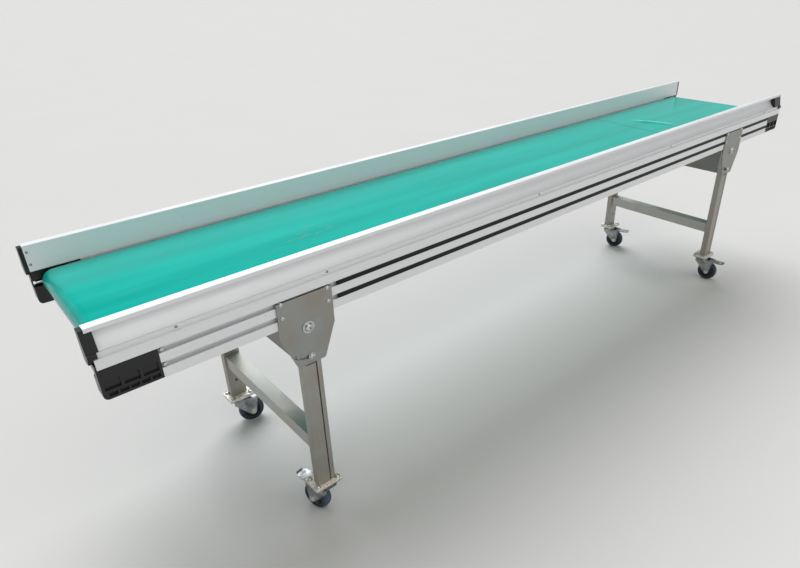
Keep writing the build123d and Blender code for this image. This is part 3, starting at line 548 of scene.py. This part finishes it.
# The sheet is ground only lightly: its lines, drawn much coarser than the grit's, hardly show in its grey,
# but soft clouds from handling and cleaning change its tone and gloss. The posts' foot plates are knocked
# and scratched, and painted pale and less like metal for the light they reflect.
def brushed_steel(name, grain, metallic, light_tone, dark_tone, has_foot=False):
    """Sheet steel brushed along one axis: 0 for X, 1 for Y, 2 for Z."""
    material = surface(name, {"Metallic": metallic})
    place = add(material, "TexCoord", {}).outputs["Object"]
    stretch = [1 / brush_length if axis == grain else 1 / brush_pitch for axis in range(3)]
    along = add(material, "Mapping", {"Scale": stretch}, {0: place})
    lines = add(material, "TexNoise", {"Scale": 1.0, "Detail": 4.0, "Roughness": 0.65}, {0: along})
    greys = {"data_type": "RGBA", 6: linear(dark_tone), 7: linear(light_tone)}
    tone = add(material, "Mix", greys, {0: lines})
    stain = add(material, "TexNoise", {"Scale": 1 / stain_size, "Detail": 5.0}, {0: place})
    patch = add(material, "MapRange", {"From Min": 0.35, "From Max": 0.65}, {0: stain})
    casts = {"data_type": "RGBA", 6: linear(warm_cast), 7: linear(cool_cast)}
    cast = add(material, "Mix", casts, {0: patch})
    colour = add(material, "Mix", {"data_type": "RGBA", 0: 0.6}, {6: tone.outputs[2], 7: cast.outputs[2]})
    handled = {"From Min": 0.3, "From Max": 0.7, "To Min": 0.36, "To Max": 0.52}
    gloss = add(material, "MapRange", handled, {0: stain})
    eased = add(material, "Bevel", {"samples": 4, "Radius": sheet_edge})
    bump = add(material, "Bump", {"Strength": 0.03, "Distance": 0.0003}, {"Height": lines, "Normal": eased})
    # Foot plates: knocked patches, painted pale and less metallic for the light they reflect.
    if has_foot:
        height = add(material, "SeparateXYZ", {}, {0: place}).outputs["Z"]
        fade = {"From Min": foot_top + foot_fade_to, "From Max": foot_top + foot_fade_from}
        foot = add(material, "MapRange", fade, {0: height})
        rough_patches = {"Scale": 1 / knock_size, "Detail": 5.0, "Roughness": 0.7}
        knocks = add(material, "TexNoise", rough_patches, {0: place})
        knock = add(material, "MapRange", {"From Min": 0.38, "From Max": 0.60}, {0: knocks})
        bared = {"data_type": "RGBA", 6: linear(knocked_steel), 7: linear(bare_steel_and_painted_light)}
        bare_and_lit = add(material, "Mix", bared, {0: knock})
        layers = {0: foot, 6: colour.outputs[2], 7: bare_and_lit.outputs[2]}
        colour = add(material, "Mix", {"data_type": "RGBA"}, layers)
        metal = add(material, "MapRange", {"To Min": metallic, "To Max": foot_metallic}, {0: foot})
        join(material, {"Metallic": metal})
    return join(material, {"Base Color": colour.outputs[2], "Roughness": gloss, "Normal": bump})


# Painted shade: the bracket plates get a darker grey copy of the sheet than the posts.
shaded_plate_steel = brushed_steel("brushed_bracket_sheet_steel_painted_shade", 0, 0.85, "#949490", "#8A8A86")
post_steel = brushed_steel("brushed_post_sheet_steel", 2, 0.85, "#B6B1A7", "#958F84", has_foot=True)
# Painted light: the crossbars get a paler, less metallic copy of the sheet, for the light on their tops.
lit_crossbar_steel = brushed_steel("brushed_crossbar_steel_painted_light", 1, 0.5, "#CFCEC9", "#BFBEB8")
# Painted shade: the cross sheets get a dark brown-grey copy of the sheet, for the shade under the bed.
shaded_cross_sheet_steel = brushed_steel("brushed_cross_sheet_steel_painted_shade", 1, 0.85, "#45423C", "#38352F")
for end_name in ("near", "far"):
    dress([f"{end_name}_bracket_plates"], shaded_plate_steel)
    dress([f"{end_name}_post_front", f"{end_name}_post_rear"], post_steel)
    dress([f"{end_name}_crossbar"], lit_crossbar_steel)
    dress([f"{end_name}_cross_sheet"], shaded_cross_sheet_steel)

# Weld beads: each post is welded to its foot plate and the crossbar to the posts, by hand, with the
# scales of the pool left standing and a straw tint beside them.
post_width = 0.052
post_depth = 0.024
bracket_plate_thick = 0.0040
bracket_plate_gap = 0.0004
post_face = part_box("near_bracket_plates")[1].y - bracket_plate_thick - bracket_plate_gap
bead_radius = 0.0022
bead_steps = 10
foot_bead_inset = 0.003
bar_bead_inset = 0.002
bead_core = 0.85
bead_end = 0.35
bead_growth = 2.5
scale_pitch = 0.0024
scale_steps = 4
scale_swell = 0.22
hand_spread = 0.05
tint_size = 0.00455
weld_straw = "#75695A"
weld_grey = "#ACA79D"


# A bead cools bare and bright on its scales, and straw brown where the heat has tinted it.
def weld_steel():
    material = surface("tinted_weld_steel", {"Metallic": 1.0})
    place = add(material, "TexCoord", {}).outputs["Object"]
    cloud = add(material, "TexNoise", {"Scale": 1 / tint_size, "Detail": 4.0}, {0: place})
    tints = {"data_type": "RGBA", 6: linear(weld_straw), 7: linear(weld_grey)}
    tone = add(material, "Mix", tints, {0: cloud})
    gloss = add(material, "MapRange", {"To Min": 0.35, "To Max": 0.6}, {0: cloud})
    return join(material, {"Base Color": tone.outputs[2], "Roughness": gloss})


def bead(mesh, start, stop, chance):
    """One bead from start to stop: a half-sunk rod whose radius swells with every scale of the pool."""
    start, stop = Vector(start), Vector(stop)
    length = (stop - start).length
    steps = max(4, int(length / scale_pitch * scale_steps))
    turn = (stop - start).to_track_quat("Z", "Y").to_matrix().to_4x4()
    outline = []
    for i in range(steps + 1):
        swell = abs(math.sin(math.pi * i / scale_steps)) * scale_swell
        swell += chance.uniform(-hand_spread, hand_spread)
        end_taper = min(1.0, bead_end + bead_growth * min(i, steps - i) / steps)
        outline.append((length * i / steps, bead_radius * (bead_core + swell) * end_taper))
    lathe(mesh, outline, bead_steps, Matrix.Translation(start) @ turn)


weld = weld_steel()
for end_name in ("near", "far"):
    chance = random.Random(end_name)
    beads = bmesh.new()
    bar_low, bar_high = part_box(f"{end_name}_crossbar")
    bar_middle = (bar_low.x + bar_high.x) / 2
    x_near = bar_middle - post_width / 2 + foot_bead_inset
    x_far = bar_middle + post_width / 2 - foot_bead_inset
    for side_name, side in (("front", -1), ("rear", 1)):
        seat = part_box(f"{end_name}_post_{side_name}")[0].z + foot_plate_thick
        y_in = side * (post_face - post_depth)
        for y in (side * post_face, y_in):
            bead(beads, (x_near, y, seat), (x_far, y, seat), chance)
        x_low, x_high = bar_low.x + bar_bead_inset, bar_high.x - bar_bead_inset
        for level in (bar_low.z, bar_high.z):
            bead(beads, (x_low, y_in, level), (x_high, y_in, level), chance)
        z_low, z_high = bar_low.z + bar_bead_inset, bar_high.z - bar_bead_inset
        for x in (bar_low.x, bar_high.x):
            bead(beads, (x, y_in, z_low), (x, y_in, z_high), chance)
    as_piece(beads, f"{end_name}_weld_beads", weld, f"{end_name}_leg")

# Foot bolts: four M8 bolts through each foot plate and castor plate, with a washer and a low head above
# and a nut below, zinc plated like the castors.
foot_bolt_x = 0.030
foot_bolt_y = 0.020
castor_plate_half_width = 0.030
foot_bolt_steps = 24
hexagon = 6
foot_bolt_sharp_angle = 30

# The outlines as (height over the plate, radius): washer, head and its socket above; nut and thread below
foot_bolt_top = [
    (-0.0002, 0.0080),
    (0.0011, 0.0080),
    (0.0014, 0.0076),
    (0.0014, 0.0062),
    (0.00392, 0.0062),
    (0.00518, 0.00465),
    (0.0056, 0.00248),
    (0.00392, 0.00217),
]
foot_bolt_nut = [(-0.0002, 0.0062), (0.00425, 0.0062), (0.0050, 0.00527), (0.0050, 0.0040), (0.0060, 0.0036)]

dress(["near_castor_plates", "far_castor_plates"], zinc)
for end_name in ("near", "far"):
    bolts = bmesh.new()
    plates_low, plates_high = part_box(f"{end_name}_castor_plates")
    middle_x = (plates_low.x + plates_high.x) / 2
    for side in (-1, 1):
        middle_y = side * (plates_high.y - castor_plate_half_width)
        for x in (middle_x - foot_bolt_x, middle_x + foot_bolt_x):
            for y in (middle_y - foot_bolt_y, middle_y + foot_bolt_y):
                above = Matrix.Translation((x, y, plates_high.z + foot_plate_thick))
                below = Matrix.Translation((x, y, plates_low.z)) @ Matrix.Rotation(math.pi, 4, "X")
                lathe(bolts, foot_bolt_top, foot_bolt_steps, above)
                lathe(bolts, foot_bolt_nut, hexagon, below)
    as_piece(bolts, f"{end_name}_foot_bolts", zinc, f"{end_name}_leg", foot_bolt_sharp_angle)

# Castors: forks and brake pedals pressed from sheet steel and zinc plated, with the swivel race above, held
# under the castor plates by their kingpins.
castors = [f"{end_name}_{side_name}" for end_name in ("near", "far") for side_name in ("front", "rear")]
pressing_stain_size = 0.0263
fork_edge = 0.0009
pressing_stained = "#77787A"
pressing_clean = "#B3B5B6"


# Plating over a pressed sheet follows its drawn surface: greyer and duller than on a turned screw, with
# soft dark stains where the wheel throws up dirt.
def zinc_plated_pressing():
    material = surface("zinc_plated_pressed_sheet_steel", {"Metallic": 0.9})
    place = add(material, "TexCoord", {}).outputs["Object"]
    dirt = {"Scale": 1 / pressing_stain_size, "Detail": 5.0, "Roughness": 0.6}
    cloud = add(material, "TexNoise", dirt, {0: place})
    stain = add(material, "MapRange", {"From Min": 0.35, "From Max": 0.65}, {0: cloud})
    greys = {"data_type": "RGBA", 6: linear(pressing_stained), 7: linear(pressing_clean)}
    tone = add(material, "Mix", greys, {0: stain})
    gloss = add(material, "MapRange", {"To Min": 0.5, "To Max": 0.3}, {0: stain})
    eased = add(material, "Bevel", {"samples": 4, "Radius": fork_edge})
    bump = add(material, "Bump", {"Strength": 0.1, "Distance": 0.0004}, {"Height": cloud, "Normal": eased})
    return join(material, {"Base Color": tone.outputs[2], "Roughness": gloss, "Normal": bump})


dress([f"{name}_{part}" for name in castors for part in ("fork", "pedal")], zinc_plated_pressing())

# Tyres: elastic blue rubber vulcanised on the hub, with a crowned tread, two fine grooves and the dust of
# the floor on the tread.
tyre_radius = 0.040
tyre_inner = 0.029
tyre_half = 0.014
tyre_steps = 96
tyre_sharp_angle = 50
sidewall_radius = 0.0345
tread_share = 0.97
tread_points = 12
crown_drop = 0.0042
crown_power = 2.6
groove_place = 0.5
groove_depth = 0.0008
hub_side_dust = 0.1
shoulder_dust = 0.3
middle_dust = 1.1
edge_cleaner_by = 0.6
spins = {joint["child"]: joint for joint in frame["joints"]}
rubber_cloud_size = 0.0111
rubber_blue = "#0A1D34"
rubber_dusty = "#4E6478"


# Rubber is matt, and the floor's dust lies in clouds on the tread, thick in its middle and thin by the hub.
def blue_rubber():
    material = surface("vulcanised_blue_rubber", {"IOR": 1.5})
    place = add(material, "TexCoord", {}).outputs["Object"]
    cloud = add(material, "TexNoise", {"Scale": 1 / rubber_cloud_size, "Detail": 5.0}, {0: place})
    worn = add(material, "Attribute", {"attribute_name": "floor_dust"}).outputs["Fac"]
    amount = add(material, "Math", {"operation": "MULTIPLY", "use_clamp": True}, {0: worn, 1: cloud})
    blues = {"data_type": "RGBA", 6: linear(rubber_blue), 7: linear(rubber_dusty)}
    tone = add(material, "Mix", blues, {0: amount})
    gloss = add(material, "MapRange", {"To Min": 0.45, "To Max": 0.75}, {0: worn})
    bump = add(material, "Bump", {"Strength": 0.2, "Distance": 0.0003}, {"Height": cloud})
    return join(material, {"Base Color": tone.outputs[2], "Roughness": gloss, "Normal": bump})


def tyre_profile():
    """The tyre's outline as (across, radius, dust): sidewall, shoulder, crowned tread with two grooves."""
    points = [(-tyre_half, tyre_inner, hub_side_dust), (-tyre_half, sidewall_radius, shoulder_dust)]
    for i in range(tread_points + 1):
        across = -1 + 2 * i / tread_points
        radius = tyre_radius - crown_drop * abs(across) ** crown_power
        groove = groove_depth if abs(abs(across) - groove_place) < 0.01 else 0.0
        amount = middle_dust - edge_cleaner_by * abs(across)
        points.append((across * tyre_half * tread_share, radius - groove, amount))
    return points + [(tyre_half, sidewall_radius, shoulder_dust), (tyre_half, tyre_inner, hub_side_dust)]


def axle_place(name):
    """Where a castor's axle is: its middle, with local Z along it."""
    spin = spins[f"{name}_wheel"]
    turned = Vector(spin["axis"]).to_track_quat("Z", "Y").to_matrix().to_4x4()
    return Matrix.Translation(spin["pos_m"]) @ turned


rubber = blue_rubber()
for name in castors:
    tread = bmesh.new()
    dust = tread.verts.layers.float.new("floor_dust")
    profile = tyre_profile()
    outline = [(across, radius) for across, radius, amount in profile]
    rings = lathe(tread, outline, tyre_steps, axle_place(name), closed=True)
    for ring, (across, radius, amount) in zip(rings, profile):
        for point in ring:
            point[dust] = amount
    tyre = as_piece(tread, f"{name}_tread", rubber, f"{name}_wheel", tyre_sharp_angle)
    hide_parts(f"{name}_tyre")

# Hubs: wheel centres moulded in black polyamide, each a rim, a thin web and a boss that turns on the axle,
# with the dust of the floor in their dished faces. Their moulded grain is drawn coarser than it is.
hub_grain = 0.00143
hub_dirt_size = 0.0143
hub_black = "#121316"
hub_dusty = "#34342F"


def wheel_centre_polyamide():
    material = surface("moulded_black_wheel_polyamide", {"IOR": 1.53})
    place = add(material, "TexCoord", {}).outputs["Object"]
    grain = add(material, "TexNoise", {"Scale": 1 / hub_grain, "Detail": 3.0}, {0: place})
    dirt = add(material, "TexNoise", {"Scale": 1 / hub_dirt_size, "Detail": 5.0}, {0: place})
    blacks = {"data_type": "RGBA", 6: linear(hub_black), 7: linear(hub_dusty)}
    tone = add(material, "Mix", blacks, {0: dirt})
    gloss = add(material, "MapRange", {"To Min": 0.35, "To Max": 0.6}, {0: dirt})
    bump = add(material, "Bump", {"Strength": 0.12, "Distance": 0.0003}, {"Height": grain})
    return join(material, {"Base Color": tone.outputs[2], "Roughness": gloss, "Normal": bump})


dress([f"{name}_hub" for name in castors], wheel_centre_polyamide())

# Axle nuts: a hexagon nut with a turned collar on each end of a castor's axle, zinc plated and brighter than
# the pressed fork.
fork_face = 0.0220
collar_steps = 32
axle_nut_sharp_angle = 30

# The outlines as (distance from the fork's face, radius): the collar, and the nut with the axle's end
axle_collar = [(-0.0002, 0.0090), (0.0009, 0.0090), (0.0010, 0.0078)]
axle_nut = [(0.0005, 0.0078), (0.0045, 0.0078), (0.0053, 0.006708), (0.0053, 0.0051), (0.0059, 0.0048)]

for name in castors:
    nuts = bmesh.new()
    for turn in (0, math.pi):
        outward = Matrix.Rotation(turn, 4, "X") @ Matrix.Translation((0, 0, fork_face))
        lathe(nuts, axle_collar, collar_steps, axle_place(name) @ outward)
        lathe(nuts, axle_nut, hexagon, axle_place(name) @ outward)
    as_piece(nuts, f"{name}_axle_nuts", zinc, f"{name}_castor", axle_nut_sharp_angle)

# Floor: a plain pale studio floor, painted matt, with clouds too faint to make a pattern. It is a wide disc,
# level with the bottom of the castors' tyres.
floor_reach = 400.0
floor_steps = 64
floor_cloud_size = 0.667
floor_pale = "#BBBAB8"
floor_paler = "#BEBDBB"


def matt_floor_paint():
    material = surface("matt_pale_floor_paint", {"Roughness": 0.8, "Specular IOR Level": 0.1})
    place = add(material, "TexCoord", {}).outputs["Object"]
    cloud = add(material, "TexNoise", {"Scale": 1 / floor_cloud_size, "Detail": 3.0}, {0: place})
    greys = {"data_type": "RGBA", 6: linear(floor_pale), 7: linear(floor_paler)}
    tone = add(material, "Mix", greys, {0: cloud})
    return join(material, {"Base Color": tone.outputs[2]})


floor_mesh = bmesh.new()
bmesh.ops.create_circle(floor_mesh, cap_ends=True, radius=floor_reach, segments=floor_steps)
floor_data = bpy.data.meshes.new("floor")
floor_mesh.to_mesh(floor_data)
floor_mesh.free()
floor_data.materials.append(matt_floor_paint())
floor = bpy.data.objects.new("floor", floor_data)
floor.location.z = cad_box[0].z
bpy.context.scene.collection.objects.link(floor)

# Light: three broad soft suns, as through large diffusing cloths, light the whole floor evenly: from the
# front, from high behind over the far end, and from lower behind over the near end. The room adds its pale
# walls, the front one brighter, under a dark ceiling; to the camera it looks as pale as the floor.
front_wall_glow = 0.70
rear_wall_glow = 0.46
ceiling_glow = 0.06
wall_top = 0.36
ceiling_start = 0.45
room_seen = 0.92
room_tint = "#E6E8EA"

# Each cloth has its place, its turn from straight down and its width in degrees, its strength and its tint
cloths = {
    "front_cloth": ((-1.0, -4.0, 5.0), (40.0, 4.0, 0.0), 80.0, 1.75, "#FFFDF9"),
    "rear_cloth": ((0.5, 4.0, 5.0), (-28.0, 18.0, 0.0), 46.0, 3.3, "#FAFCFF"),
    "low_cloth": ((-3.4, 6.0, 1.6), (-40.0, -33.0, 0.0), 34.0, 0.55, "#FBFDFF"),
}
for name, (spot, turn, size, strength, tint) in cloths.items():
    lamp = bpy.data.lights.new(name, "SUN")
    lamp.energy = strength
    lamp.color = linear(tint)[:3]
    lamp.angle = math.radians(size)
    cloth = bpy.data.objects.new(name, lamp)
    cloth.location = spot
    cloth.rotation_euler = [math.radians(angle) for angle in turn]
    bpy.context.scene.collection.objects.link(cloth)

world = bpy.data.worlds.new("pale_room")
world.use_nodes = True
background = world.node_tree.nodes["Background"]
background.inputs["Color"].default_value = linear(room_tint)
seen = add(world, "LightPath", {}).outputs["Is Camera Ray"]
way = add(world, "TexCoord", {}).outputs["Generated"]
towards = add(world, "SeparateXYZ", {}, {0: way})
front_to_rear = {"From Min": -0.5, "From Max": 0.5, "To Min": front_wall_glow, "To Max": rear_wall_glow}
walls = add(world, "MapRange", front_to_rear, {0: towards.outputs["Y"]})
upward = {"From Min": wall_top, "From Max": ceiling_start, "To Max": ceiling_glow}
glow = add(world, "MapRange", upward, {0: towards.outputs["Z"], "To Min": walls})
shown = add(world, "Mix", {"data_type": "FLOAT", 3: room_seen}, {0: seen, 2: glow})
world.node_tree.links.new(output_of(shown), background.inputs["Strength"])
bpy.context.scene.world = world
bpy.context.scene.view_settings.view_transform = "Standard"

# Camera: where the photograph was taken from, on the near end's left, a little above the guards. Its place
# and lens were fitted to the photograph's straight edges.
camera_spot = (-1.5859, -1.3346, 0.6202)
camera_turn = (61.65, 1.108, -41.212)
camera_lens = 27.612
camera_shift = (-0.0312, 0.0091)
camera_sight = 1000

camera_data = bpy.data.cameras.new("camera")
camera_data.lens = camera_lens
camera_data.shift_x, camera_data.shift_y = camera_shift
camera_data.clip_end = camera_sight
camera = bpy.data.objects.new("camera", camera_data)
camera.location = camera_spot
camera.rotation_euler = [math.radians(angle) for angle in camera_turn]
bpy.context.scene.collection.objects.link(camera)
bpy.context.scene.camera = camera
